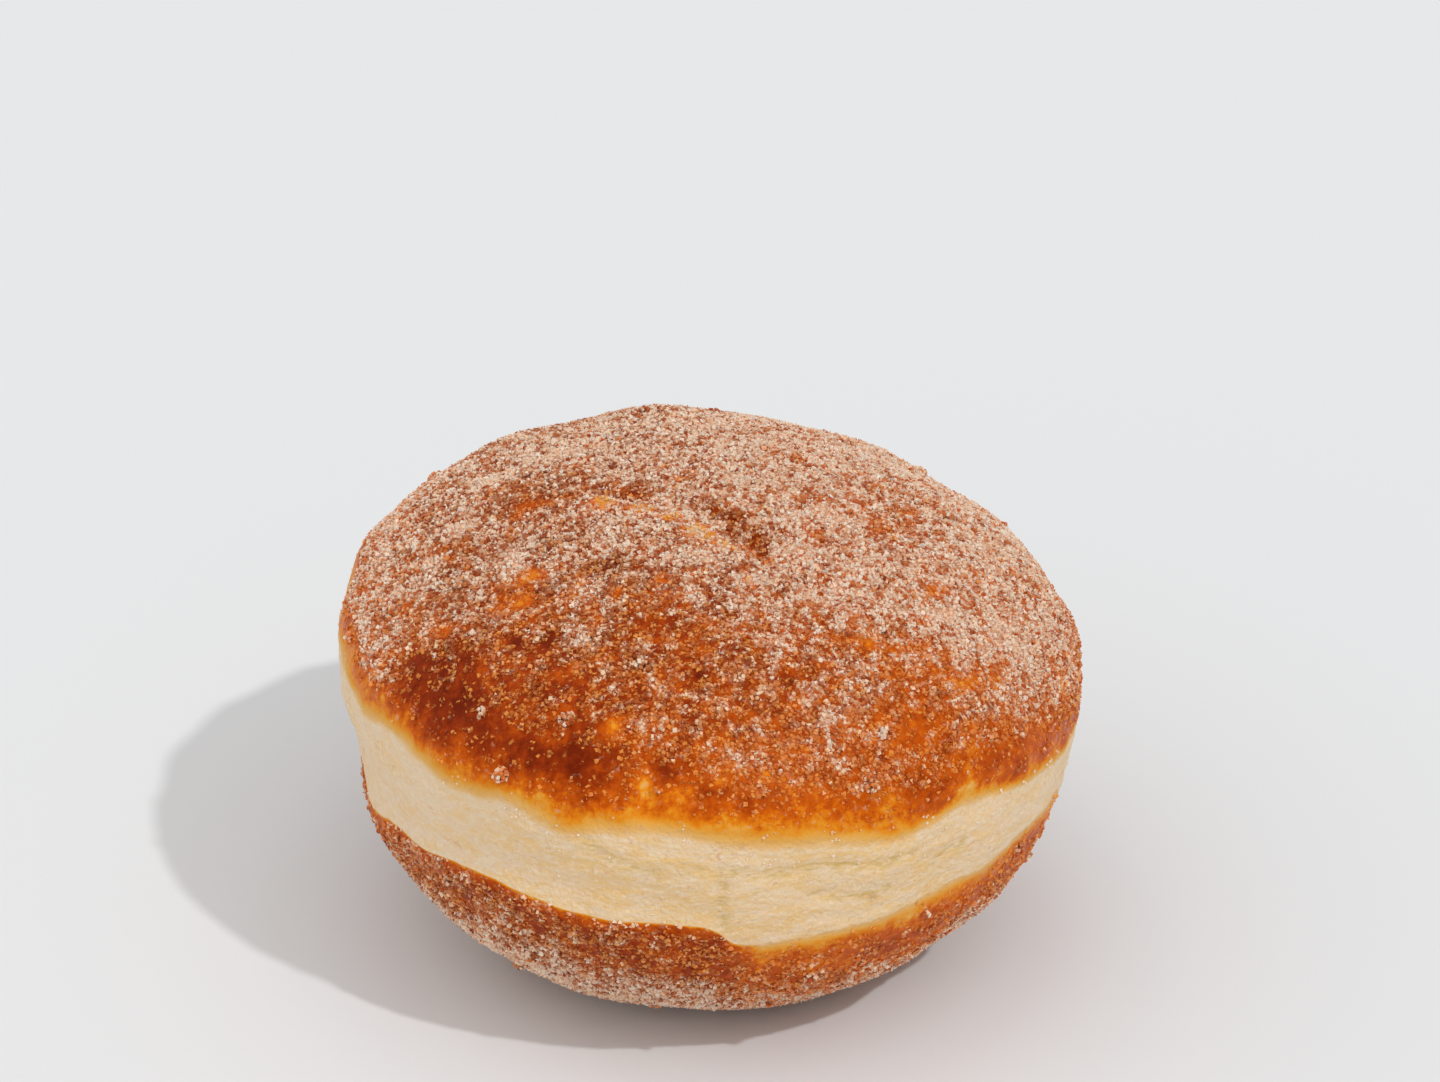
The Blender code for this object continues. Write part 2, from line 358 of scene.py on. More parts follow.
def swells(point):
    """Low swells of the fried skin: waves that cross it in evenly spread directions."""
    total = 0.0
    for turn in range(SWELL_COUNT):
        up = 1 - (turn + 0.5) / SWELL_COUNT
        out = math.sqrt(1 - up * up)
        direction = (out * math.cos(turn * GOLDEN_ANGLE), out * math.sin(turn * GOLDEN_ANGLE), up)
        length = SWELL_LENGTHS[turn % len(SWELL_LENGTHS)]
        phase = along(point, direction) * (2 * math.pi / length) + turn * SWELL_PHASE
        total = total + calculate("SINE", phase)
    return total * SWELL_SIZE


def leaning(vector):
    """A vector turned as the whole doughnut leans."""
    sources = {"Vector": vector, "Rotation": LEAN}
    return place(vector.tree, "ShaderNodeVectorRotate", sources, rotation_type="EULER_XYZ")


def skin_tree():
    """The dough's skin at a latitude and an azimuth, as it stands on the table."""
    inputs = {
        "Latitude": 0.0,
        "Azimuth": 0.0,
        "Radius": RADIUS,
        "Crown Rise": CROWN_RISE,
        "Base Drop": BASE_DROP,
    }
    tree, size = new_tree("dough_skin", "GeometryNodeTree", inputs)
    latitude = size["Latitude"]
    azimuth = size["Azimuth"]
    above = calculate("GREATER_THAN", latitude, 0.0)
    fullness = BASE_FULLNESS - above * (BASE_FULLNESS - CROWN_FULLNESS)
    rise = above * (size["Crown Rise"] - size["Base Drop"]) + size["Base Drop"]
    inward = calculate("COSINE", latitude)
    upward = calculate("ABSOLUTE", calculate("SINE", latitude))
    side = calculate("SIGN", latitude)
    height = side * rise * calculate("POWER", upward, 2.0 / fullness)
    lobes = waves(azimuth, LOBES) + 1.0
    reach = calculate("POWER", inward, 2.0 / fullness) * lobes
    outward = vector_of(tree, calculate("COSINE", azimuth), calculate("SINE", azimuth), 0.0)
    plan = outward * (reach * size["Radius"])
    plain = plan + vector_of(tree, 0.0, 0.0, height)
    out = calculate("POWER", inward, 2.0 - 2.0 / fullness) / size["Radius"]
    up = side * calculate("POWER", upward, 2.0 - 2.0 / fullness) / rise
    normal = calculate("NORMALIZE", outward * out + vector_of(tree, 0.0, 0.0, up))
    relief = band_relief(azimuth, height, size["Radius"]) + swells(plain)
    relief = relief + above * crown_relief(plan, azimuth, height)
    tilt = calculate("COSINE", azimuth - math.radians(CROWN_TILT_AZIMUTH))
    tilt = above * (tilt * reach * height / size["Crown Rise"]) * CROWN_TILT
    push = (1.0 - above) * height / size["Base Drop"] * BASE_PUSH
    moved = plain + vector_of(tree, 0.0, push, tilt) + normal * relief
    outputs = {
        "Point": leaning(moved) + EQUATOR_CENTRE,
        "Normal": leaning(normal),
        "Plain Point": plain,
        "Above Edge": height - edge_height(azimuth),
        "Below Rim": rim_height(azimuth) - height,
    }
    return give(tree, outputs)


dough_skin = skin_tree()


def crown_spot(x, y):
    """A point of the plain crown over a place in plan."""
    reach = min(math.hypot(x, y) / RADIUS, 1.0)
    return (x, y, CROWN_RISE * (1 - reach**CROWN_FULLNESS) ** (1 / CROWN_FULLNESS))


def side_spot(degrees, height):
    """A point of the plain skin's side at an azimuth and a height."""
    above = height > 0
    rise = CROWN_RISE if above else BASE_DROP
    fullness = CROWN_FULLNESS if above else BASE_FULLNESS
    reach = RADIUS * (1 - (abs(height) / rise) ** fullness) ** (1 / fullness)
    azimuth = math.radians(degrees)
    return (reach * math.cos(azimuth), reach * math.sin(azimuth), height)


# A thin ridge beside the longer crease on the crown, in plan
RIDGE = (((-15.0, -2.0), (-9.0, -4.5), (-2.4, -7.0), (0.4, -10.8), (3.6, -14.6)),)

# Creases in the band, unrolled from one azimuth in front: millimetres to the right, and height
BAND_CREASES_FROM = -74.0
BAND_CREASES = (
    ((-12.6, -5.2), (-6.0, -5.9), (2.0, -5.5), (9.4, -6.1), (13.0, -5.4)),
    ((-9.4, -6.0), (-10.0, -10.0), (-9.2, -14.0)),
    ((17.3, -8.6), (19.0, -7.4), (21.2, -6.9)),
    ((-26.0, -3.6), (-22.0, -5.4), (-17.5, -6.2)),
    ((1.0, -9.6), (6.0, -10.4), (11.5, -9.9)),
)

# Marks on the crusts, on the crown as (x, y, across, deep), on the side as (degrees, height,
# along, tall). First heaps of stuck sugar, then patches that it left bare or thin
STUCK_ON_CROWN = (
    (-30.3, -1.2, 3.7, 1.9), (-22.8, -11.4, 1.6, 2.3), (-24.2, -20.1, 1.2, 1.0),
    (-26.7, 9.5, 3.5, 2.6), (-15.6, -26.3, 1.2, 2.0), (-13.5, -19.5, 2.0, 2.0),
    (-2.4, -13.9, 2.9, 1.6), (5.5, -18.3, 3.3, 1.1), (12.9, -19.6, 3.4, 1.5),
    (14.6, -3.9, 0.9, 1.8), (27.1, -17.8, 4.2, 1.6), (8.9, -28.2, 1.9, 1.5),
    (-17.1, 12.1, 5.1, 3.5),
)
STUCK_ON_SIDE = (
    (-170, 12.9, 1.3, 1.3), (-154, 4.4, 0.8, 1.1), (-130, 12.4, 0.9, 0.8), (-24, 10.8, 2.5, 2.3),
    (-24, 8.3, 2.0, 2.4), (-36, 7.2, 2.0, 1.5), (-32, 4.8, 1.5, 1.7), (-33, 12.4, 1.8, 1.5),
    (-82, 10.1, 1.2, 1.1), (-97, 8.9, 1.0, 0.8), (-70, 12.8, 1.3, 1.4), (-57, 11.7, 1.1, 1.6),
    (-68, 10.3, 3.1, 0.9), (-72, 7.1, 1.3, 0.7), (-82, 5.3, 0.8, 0.7), (-62, 4.8, 1.4, 0.7),
    (-65, 3.6, 1.1, 0.7), (-62, 8.2, 0.7, 0.9),
)
BARE_ON_CROWN = (
    (-22.4, -1.0, 3.1, 1.7), (-30.1, -6.5, 1.4, 1.4), (-32.4, -4.0, 1.5, 1.4),
    (-15.5, -19.9, 1.1, 1.3), (-24.4, -16.8, 0.8, 1.9), (20.1, -5.9, 2.1, 2.6),
    (23.3, -0.8, 1.5, 1.7), (26.0, 5.3, 2.3, 2.3), (19.2, 2.6, 1.2, 1.7), (26.0, -14.4, 1.2, 1.4),
    (17.5, -25.3, 2.7, 1.0), (7.4, 8.8, 1.2, 2.0), (10.3, 8.5, 0.8, 3.0), (11.0, -1.7, 2.6, 1.1),
    (12.9, -9.3, 1.1, 0.9), (-6.8, -25.2, 2.6, 1.4), (-0.9, -28.9, 2.4, 1.3),
)
BARE_ON_SIDE = (
    (-178, 7.3, 3.5, 2.2), (-163, 10.2, 1.6, 1.2), (-17, 6.5, 2.6, 1.3), (-19, 4.4, 1.6, 1.9),
    (-30, 9.0, 1.0, 1.3), (-43, 11.0, 1.3, 1.1), (-40, 9.4, 1.4, 1.1), (-53, 12.0, 1.2, 2.1),
    (-49, 11.0, 1.1, 1.0), (-53, 7.8, 4.1, 2.9), (-34, 2.2, 6.8, 1.5), (-62, 9.4, 2.7, 1.1),
)
THIN_ON_CROWN = (
    (23.0, -1.0, 8.0, 8.0), (-24.0, 0.0, 9.0, 8.0),
)

# Painted shade in the crease, golden crust with a painted highlight on the ridge, then bare skin fried
# dark or golden
CREASE_SHADE_ON_CROWN = (
    (-9.8, -1.1, 2.5, 1.2), (0.6, -5.9, 1.0, 1.4), (2.8, -7.9, 1.4, 1.5), (5.4, -9.5, 1.2, 1.8),
    (6.3, -12.3, 1.0, 1.4),
)
RIDGE_GOLD_AND_HIGHLIGHT_ON_CROWN = (
    (-12.6, -3.6, 1.6, 1.2), (-8.2, -5.2, 2.0, 1.1), (-4.6, -7.2, 1.4, 0.9), (-1.9, -9.8, 1.1, 1.2),
    (-0.3, -11.1, 1.5, 1.3), (2.5, -12.4, 1.8, 1.1),
)
DARK_ON_CROWN = (
    (-11.7, -15.9, 2.2, 1.5), (-22.2, -24.4, 1.1, 1.5), (-18.2, -24.8, 1.1, 1.5),
    (-0.8, -32.0, 0.9, 1.0), (9.4, -31.9, 1.1, 0.9), (-4.0, -11.5, 0.8, 0.9),
)
DARK_ON_SIDE = (
    (-144, 8.0, 5.0, 3.0), (-137, 6.0, 9.0, 3.5), (-108, 6.1, 3.0, 1.8), (-118, 5.0, 8.0, 2.6),
    (-89, 4.8, 1.0, 0.7), (-50, 5.8, 1.2, 0.8), (-96, 6.3, 1.8, 1.4),
)
GOLDEN_ON_CROWN = (
    (4.5, -18.2, 0.7, 0.8), (-22.0, -18.4, 1.8, 1.5), (-21.6, -14.7, 2.3, 1.5),
    (-5.8, -18.6, 0.8, 0.8), (-10.7, -20.1, 0.6, 1.3), (-14.8, -17.8, 0.8, 1.0),
)
GOLDEN_ON_SIDE = (
    (-106, 9.7, 1.5, 1.7), (-99, 5.0, 0.9, 3.4), (-148, 11.6, 1.3, 1.1), (-88, 5.6, 0.6, 0.6),
)

# Each kind of mark with the browning and the sugar that it adds; in the crease they paint shade, on the
# ridge a highlight
MARKS = (
    (-0.05, 0.42, STUCK_ON_CROWN, STUCK_ON_SIDE),
    (-0.06, -0.46, BARE_ON_CROWN, BARE_ON_SIDE),
    (0.03, -0.18, THIN_ON_CROWN, ()),
    (0.16, -0.7, CREASE_SHADE_ON_CROWN, ()),
    (-0.58, -0.44, RIDGE_GOLD_AND_HIGHLIGHT_ON_CROWN, ()),
    (0.24, -0.46, DARK_ON_CROWN, DARK_ON_SIDE),
    (-0.36, -0.46, GOLDEN_ON_CROWN, GOLDEN_ON_SIDE),
)


def mark_cover(plain, crown_marks, side_marks):
    """How much of the marks of one kind a place has."""
    total = 0.0
    for x, y, across, deep in crown_marks:
        away = (plain - crown_spot(x, y)) * (1.0 / across, 1.0 / deep, 0.33)
        total = total + bump(length_of(away), 1.0)
    for degrees, height, length, tall in side_marks:
        away = (plain - side_spot(degrees, height)) * (1.0 / length, 1.0 / length, 1.0 / tall)
        total = total + bump(length_of(away), 1.0)
    return held(total)


def store(geometry, label, value, kind="FLOAT", domain="POINT"):
    """Keep a value on the geometry under a name."""
    sources = {"Geometry": geometry, "Name": label, "Value": value}
    node = "GeometryNodeStoreNamedAttribute"
    return place(geometry.tree, node, sources, data_type=kind, domain=domain)


def store_map(geometry, across, up):
    """Keep a flat map of the surface, for its colours to be printed on."""
    return store(geometry, "OFBake", vector_of(geometry.tree, across, up, 0.0), "FLOAT2", "CORNER")


def part_of(vector, letter):
    """One of a vector's three parts."""
    return place(vector.tree, "ShaderNodeSeparateXYZ", {0: vector}, output=letter)


def two_row_map(geometry, corner, facing):
    """Lay the six sides of a cube on its map, in two rows of three."""
    which = calculate("ABSOLUTE", facing)
    x_side = part_of(which, "X")
    y_side = part_of(which, "Y")
    z_side = part_of(which, "Z")
    across = part_of(corner, "Y") * x_side + part_of(corner, "X") * (y_side + z_side)
    up = part_of(corner, "Z") * (x_side + y_side) + part_of(corner, "Y") * z_side
    column = y_side + z_side * 2.0 + 0.5
    row = along(facing, (0.5, 0.5, 0.5)) + 1.0
    reach = 0.485
    return store_map(geometry, (across * reach + column) / 3.0, (up * reach + row) / 2.0)


def latitude_towards(direction, size):
    """The latitude at which the plain skin is met in a direction from its middle."""
    up = part_of(direction, "Z")
    above = calculate("GREATER_THAN", up, 0.0)
    half_fullness = BASE_FULLNESS / 2 - above * ((BASE_FULLNESS - CROWN_FULLNESS) / 2)
    rise = above * (size["Crown Rise"] - size["Base Drop"]) + size["Base Drop"]
    level = length_of(direction * (1.0, 1.0, 0.0)) / size["Radius"]
    slope = calculate("ABSOLUTE", up) / rise
    slope = calculate("POWER", slope, half_fullness)
    level = calculate("POWER", level, half_fullness)
    return calculate("ARCTAN2", slope, level) * calculate("SIGN", up)


def fine_relief(plain, crust, ridge, to_crease, size):
    """Pimples on the crusts, one thin ridge, and wrinkles and creases along the stretched band."""
    pimples = (mottle(plain, 3.2, 1.0) - 0.5) + (mottle(plain, 1.6, 1.0, 31.0) - 0.5) * 0.7
    wrinkles = mottle(plain * (0.35, 0.35, 1.3), 1.6, 2.0, 11.0) - 0.5
    slanting = mottle(plain * (1.0, 1.0, 0.4), 4.0, 1.0, 47.0) - 0.5
    relief = crust * pimples * (size["Pimple Height"] * 2.0) + ridge * size["Ridge Height"]
    relief = relief + (1.0 - crust) * (wrinkles + slanting * 0.6) * (size["Band Wrinkle"] * 2.0)
    return relief - (1.0 - crust) * bump(to_crease, size["Crease Width"]) * size["Crease Depth"]


def marked_shares(plain):
    """How much the marks darken a place, painted shade and highlight included, and how much sugar they
    add to it.
    """
    dark = 0.0
    marked = 0.0
    for browning, sugaring, crown_marks, side_marks in MARKS:
        cover = mark_cover(plain, crown_marks, side_marks)
        dark = dark + cover * browning
        marked = marked + cover * sugaring
    return dark, marked


def level_on_crown(plain, above_edge, ridge, marked, lacy):
    """How thick sugar lies on the crown: thick behind, at the right and on the very left."""
    to_right = part_of(plain, "X")
    to_back = part_of(plain, "Y")
    level = between(to_back, -35.0, -8.0) * 0.58 + between(to_back, 0.0, 18.0) * 0.08
    level = level + between(to_right, -24.0, 18.0) * 0.26 + ridge * 0.15
    level = level + between(to_right, -35.0, -43.0) * 0.35
    level = calculate("MINIMUM", level + 0.13, 0.97) + marked + lacy
    left = between(to_right, -28.0, -40.0)
    return level * between(above_edge, 1.0, 9.0 - left * 5.5)


def level_on_base(plain, below_rim, softness, marked, lacy):
    """How thick sugar lies on the base: thicker further down, and thinner at the right."""
    right = between(part_of(plain, "X"), -25.0, 15.0)
    level = between(below_rim, 3.5, 17.0) * 0.82 - right * 0.15
    level = level + marked + lacy + 0.26 - softness * 0.12
    return level * between(below_rim, softness * 0.8, softness * 4.5 + 0.5)


def dough_tree():
    """A cube of fine squares drawn out into the dough, with its fine relief and its browning."""
    inputs = {
        "Squares": 127,
        "Radius": RADIUS,
        "Crown Rise": CROWN_RISE,
        "Base Drop": BASE_DROP,
        "Pimple Height": 0.10,
        "Band Wrinkle": 0.36,
        "Crease Depth": 0.25,
        "Crease Width": 0.6,
        "Ridge Height": 0.7,
        "Ridge Width": 0.9,
        "Material": bpy.types.NodeSocketMaterial,
    }
    tree, size = new_tree("dough", "GeometryNodeTree", inputs)
    side = size["Squares"] + 1.0
    sources = {"Size": 2.0, "Vertices X": side, "Vertices Y": side, "Vertices Z": side}
    cube = place(tree, "GeometryNodeMeshCube", sources)
    corner = place(tree, "GeometryNodeInputPosition")
    capture = tree.nodes.new("GeometryNodeCaptureAttribute")
    capture.domain = "FACE"
    capture.capture_items.new("VECTOR", "Facing")
    connect(capture, {"Geometry": cube, "Facing": place(tree, "GeometryNodeInputNormal")})
    dough = two_row_map(Wire(capture.outputs["Geometry"]), corner, Wire(capture.outputs["Facing"]))

    # Each corner goes out to the skin in its own direction, by even angles from side to side
    tangents = calculate("TANGENT", corner * (math.pi / 4))
    direction = calculate("NORMALIZE", tangents)
    azimuth = calculate("ARCTAN2", part_of(direction, "Y"), part_of(direction, "X"))
    above = calculate("GREATER_THAN", part_of(direction, "Z"), 0.0)
    sources = {"Latitude": latitude_towards(direction, size), "Azimuth": azimuth}
    sources.update({name: size[name] for name in ("Radius", "Crown Rise", "Base Drop")})
    skin = use(tree, dough_skin, sources)
    plain = skin.beside("Plain Point")
    above_edge = skin.beside("Above Edge")
    below_rim = skin.beside("Below Rim")

    crust = calculate("MAXIMUM", between(above_edge, -0.5, 2.5), between(below_rim, -0.5, 2.0))
    to_ridge = distance_to_lines(plain * (1.0, 1.0, 0.0), RIDGE)
    ridge = above * bump(to_ridge, size["Ridge Width"])
    unrolled = turn_from(azimuth, BAND_CREASES_FROM) * size["Radius"]
    unrolled = vector_of(tree, unrolled, part_of(plain, "Z"), 0.0)
    sources = {"Vector": plain, "Scale": 0.4, "Detail": 2.0}
    waver = place(tree, "ShaderNodeTexNoise", sources, output="Color")
    to_crease = distance_to_lines(unrolled + (waver - (0.5, 0.5, 0.5)) * 1.6, BAND_CREASES)
    relief = fine_relief(plain, crust, ridge, to_crease, size)
    point = skin + skin.beside("Normal") * relief

    # The lower crust's rim is crisp but for its right part, where it fades into the band
    softness = between(turn_from(azimuth, -84.0), 0.0, 0.08)
    softness = softness * between(turn_from(azimuth, 20.0), 0.4, -0.2)
    dark, marked = marked_shares(plain)
    lacy = (mottle(plain, 1.5, 3.0, 71.0, 0.65) - 0.5) * 2.4
    lacy = lacy + (mottle(plain, 6.0, 1.0, 37.0) - 0.5) * 0.7
    crown_level = level_on_crown(plain, above_edge, ridge, marked, lacy)
    low_level = level_on_base(plain, below_rim, softness, marked, lacy)

    # The loose grains' shares: none on the flat that the dough rests on, a few on the band
    on_crown = between(crown_level, -0.15, 0.70) * between(above_edge, 0.0, 2.0)
    off_floor = between(part_of(point, "Z"), 0.0, 0.4)
    on_base = between(low_level, -0.15, 0.70) * between(below_rim, 0.0, softness * 2.4 + 0.6)
    on_band = between(above_edge, -11.0, -1.0) * (1.0 - between(above_edge, 1.0, 5.0))
    on_band = on_band * (1.0 - between(below_rim, -0.5, 2.0))
    kept = {
        "above_edge": above_edge,
        "below_rim": below_rim,
        "rim_softness": softness,
        # Browning from the marks, with painted shade in the crease and a painted highlight on the ridge
        "browned": dark,
        "band_crease": bump(to_crease, 0.7) * (1.0 - crust),
        "sugar_level": held(crown_level + low_level, -0.4, 1.4),
        "sugar_on_crown": on_crown,
        "sugar_on_base": on_base * off_floor,
        "sugar_on_band": on_band * between(mottle(plain, 3.0, 1.0, 3.0), 0.4, 0.75),
    }
    for label, value in kept.items():
        dough = store(dough, label, value)
    resting = calculate("MAXIMUM", point, (-1000.0, -1000.0, 0.0))
    dough = place(tree, "GeometryNodeSetPosition", {"Geometry": dough, "Position": resting * MM})
    dough = place(tree, "GeometryNodeRealizeInstances", {"Geometry": dough})
    dough = place(tree, "GeometryNodeSetShadeSmooth", {"Geometry": dough})
    dough = place(tree, "GeometryNodeSetMaterial", {"Geometry": dough, "Material": size["Material"]})
    return give(tree, {"Geometry": dough})


def baked_colour():
    """The colour of dough from pale, through golden and orange, to dark brown."""
    tree, wire = new_tree("baked_colour", "ShaderNodeTree", {"Browning": 0.0})
    ramp = place(tree, "ShaderNodeValToRGB", {"Fac": wire["Browning"]})
    stops = ramp.socket.node.color_ramp.elements
    colours = (
        (0.00, (0.860, 0.570, 0.255)),
        (0.07, (0.830, 0.500, 0.185)),
        (0.16, (0.800, 0.450, 0.140)),
        (0.24, (0.800, 0.395, 0.072)),
        (0.32, (0.790, 0.290, 0.018)),
        (0.39, (0.750, 0.205, 0.006)),
        (0.45, (0.680, 0.150, 0.004)),
        (0.52, (0.580, 0.095, 0.003)),
        (0.60, (0.500, 0.074, 0.002)),
        (0.78, (0.290, 0.028, 0.002)),
        (1.00, (0.150, 0.010, 0.001)),
    )
    while len(stops) < len(colours):
        stops.new(0.5)
    for stop, (position, colour) in zip(stops, colours):
        stop.position = position
        stop.color = (*colour, 1.0)
    return give(tree, {"Color": ramp})


def attribute(tree, label):
    """A value that was kept on the surface."""
    return place(tree, "ShaderNodeAttribute", attribute_name=label, output="Fac")


def mixed(first, second, share):
    """One colour laid over another by a share."""
    wire = next(value for value in (share, first, second) if isinstance(value, Wire))
    sources = {"Factor": share, "A": first, "B": second}
    return place(wire.tree, "ShaderNodeMix", sources, data_type="RGBA")


# Linear red, green and blue of what lies over the baked colour: on the band, and of the sugar
GREY_CRUMB = (0.850, 0.670, 0.480, 1.0)
SPECK_BROWN = (0.300, 0.160, 0.050, 1.0)
FLOUR_CREAM = (0.930, 0.760, 0.560, 1.0)
CREASE_OCHRE = (0.620, 0.430, 0.130, 1.0)
MELTED_SUGAR = (0.700, 0.390, 0.230, 1.0)
SOAKED_AMBER = (0.880, 0.330, 0.065, 1.0)
HALF_SOAKED = (0.945, 0.470, 0.195, 1.0)
GREASY_ON_CRUST = (0.880, 0.560, 0.370, 1.0)
GREASY_ON_BAND = (0.860, 0.660, 0.450, 1.0)
DRY_SUGAR = (0.900, 0.730, 0.590, 1.0)
THIN_DRY_SUGAR = (0.900, 0.620, 0.400, 1.0)

# A dark speck low on the band, as (azimuth, height) and its width
SPECK_PLACE = (-63.8, -12.3)
SPECK_WIDTH = 0.6


def colours_tree():
    """The colours at a place: of the dough itself, and of a grain of sugar that lies there."""
    inputs = {"Point": (0.0, 0.0, 0.0), "Tone": 0.5}
    tree, wire = new_tree("fried_colours", "ShaderNodeTree", inputs)
    point = wire["Point"]
    blotches = mottle(point, 4.0, 2.0, 9.0) - 0.5
    spots = mottle(point * (1.0, 1.0, 0.6), 1.9, 2.0, 33.0) - 0.5
    flecks = mottle(point, 0.9, 3.0, 23.0, 0.7) - 0.5

    # Browning grows with the depth inside a crust: over some millimetres on the crown, sooner at
    # its right, and at once on the base, but for the soft part of its rim
    above_edge = attribute(tree, "above_edge")
    waver = blotches * 1.3 + flecks * 0.4
    to_right = along(point, (1.0, 0.0, 0.0))
    right = between(to_right, 12.0, 36.0)
    inside = calculate("MAXIMUM", above_edge + waver + (3.4 - right * 1.2), 0.0)
    crown = 1.0 - calculate("EXPONENT", calculate("POWER", inside, 1.35) * (right * -0.28 - 0.20))
    soft = attribute(tree, "rim_softness")
    depth = calculate("MAXIMUM", attribute(tree, "below_rim") + waver * (soft * 0.6 + 0.15), 0.0)
    base = 1.0 - calculate("EXPONENT", depth * (soft * 4.5 - 5.0))
    browning = calculate("MAXIMUM", crown, base) * 0.60
    deeper = between(inside, 8.0, 15.0) * (0.16 - between(to_right, -12.0, 30.0) * 0.14)
    deeper_below = between(depth, soft * 1.3 + 0.2, soft * 4.0 + 2.0) * (0.12 - soft * 0.10)
    browning = browning + deeper + deeper_below
    crust = calculate("MAXIMUM", between(inside, 1.6, 3.4), between(depth, 0.0, 0.8))
    # The marks' browning, with painted shade in the crown's crease and a painted highlight on its ridge
    darker = attribute(tree, "browned") + blotches * 0.5 + spots * 0.35 + flecks * 0.6
    browning = held(browning + between(browning, 0.2, 0.5) * darker)
    colour = use(tree, baked_colour(), {"Browning": browning})

    # The band: pale crumb, greyer in blotches and streaks, ochre in its creases
    band = 1.0 - crust
    greyer = between(mottle(point * (0.5, 0.5, 1.0), 2.4, 3.0, 51.0, 0.6), 0.38, 0.62)
    streaks = between(mottle(point * (0.4, 0.4, 1.6), 0.9, 3.0, 87.0, 0.7), 0.42, 0.60)
    crumb = 1.0 - between(browning, 0.0, 0.16)
    far = between(calculate("ABSOLUTE", to_right - 4.0), 20.0, 38.0)
    colour = mixed(colour, GREY_CRUMB, (greyer * 0.4 + streaks * 0.4 + far * 0.3) * crumb)
    speck = bump(length_of(point - EQUATOR_CENTRE - side_spot(*SPECK_PLACE)), SPECK_WIDTH)
    colour = mixed(colour, SPECK_BROWN, speck)
    flour = between(mottle(point * (0.6, 0.6, 1.0), 0.55, 2.0, 15.0, 0.7), 0.52, 0.66)
    colour = mixed(colour, FLOUR_CREAM, flour * crumb * 0.5)
    wandering = between(mottle(point * (0.5, 0.5, 1.6), 0.8, 2.0, 61.0), 0.42, 0.60)
    creased = held(attribute(tree, "band_crease") * wandering)
    colour = mixed(colour, CREASE_OCHRE, creased * band * 0.7)

    # The sugar: amber where grease has soaked it, pale where it lies thick and in small clumps
    level = attribute(tree, "sugar_level")
    tone = wire["Tone"]
    thick = level + (mottle(point, 1.1, 2.0, 41.0) - 0.5) * 2.3 + (tone - 0.5) * 0.8
    paleness = held(between(thick, 0.46, 1.0) + band)
    dusted = mixed(colour, MELTED_SUGAR, between(thick, 0.40, 1.0) * 0.7)
    soaked = mixed(SOAKED_AMBER, HALF_SOAKED, between(level, 0.1, 0.7))
    amber = mixed(colour, soaked, between(tone, -0.2, 1.1) * 0.82)
    thin = 1.0 - between(level, 0.2, 0.8)
    greasy = mixed(GREASY_ON_CRUST, GREASY_ON_BAND, band)
    dry = mixed(DRY_SUGAR, THIN_DRY_SUGAR, thin * (1.0 - band))
    white = mixed(greasy, dry, between(tone, 0.3, 1.0))
    outputs = {"Dough": dusted, "Grain": mixed(amber, white, paleness), "Crust": crust}
    return give(tree, outputs)


fried_colours = colours_tree()


def new_material(name):
    """A material and its surface shader."""
    material = bpy.data.materials.new(name)
    material.use_nodes = True
    return material, material.node_tree.nodes["Principled BSDF"]


def dough_material():
    """Fried dough: browned by its depth inside a crust, with fine sugar melted on to it."""
    material, shader = new_material("fried_dough")
    tree = material.node_tree
    point = place(tree, "ShaderNodeTexCoord", output="Object") * (1.0 / MM)

    # Fine sugar between the loose grains: uneven cells of half a millimetre, some of them filled
    sources = {"Vector": point, "Scale": 2.2, "Detail": 1.0}
    waver = place(tree, "ShaderNodeTexNoise", sources, output="Color")
    sources = {"Vector": point + (waver - (0.5, 0.5, 0.5)) * 0.7, "Scale": 1.0 / 0.48}
    from_grain = place(tree, "ShaderNodeTexVoronoi", sources, output="Distance")
    chance = from_grain.beside("Color")
    sources = {"Point": point, "Tone": part_of(chance, "X")}
    colour = use(tree, fried_colours, sources, "Dough")
    crust = colour.beside("Crust")
    clear_of_band = between(attribute(tree, "above_edge"), 0.5, 6.0)
    clear_of_band = calculate("MAXIMUM", clear_of_band, between(attribute(tree, "below_rim"), 0.2, 2.4))
    cover = between(attribute(tree, "sugar_level"), -0.30, 0.35) * clear_of_band * 0.95
    grain = between(cover - part_of(chance, "Y"), 0.0, 0.04) * (1.0 - between(from_grain, 0.38, 0.66))
    grit = mottle(point, 0.55, 2.0, 83.0) * (2.6 - crust * 2.0) + grain
    sources = {"Strength": 0.7, "Distance": 0.15 * MM, "Height": grit}
    surface = {
        "Base Color": mixed(colour, colour.beside("Grain"), grain),
        "Roughness": 0.62 - crust * 0.22 + grain * 0.15,
        "Specular IOR Level": 0.16,
        "Specular Tint": (1.0, 0.50, 0.20, 1.0),
        "Subsurface Weight": 0.06,
        "Subsurface Radius": (1.0, 0.5, 0.25),
        "Subsurface Scale": 0.8 * MM,
        "Normal": place(tree, "ShaderNodeBump", sources),
    }
    connect(shader, surface)
    return material


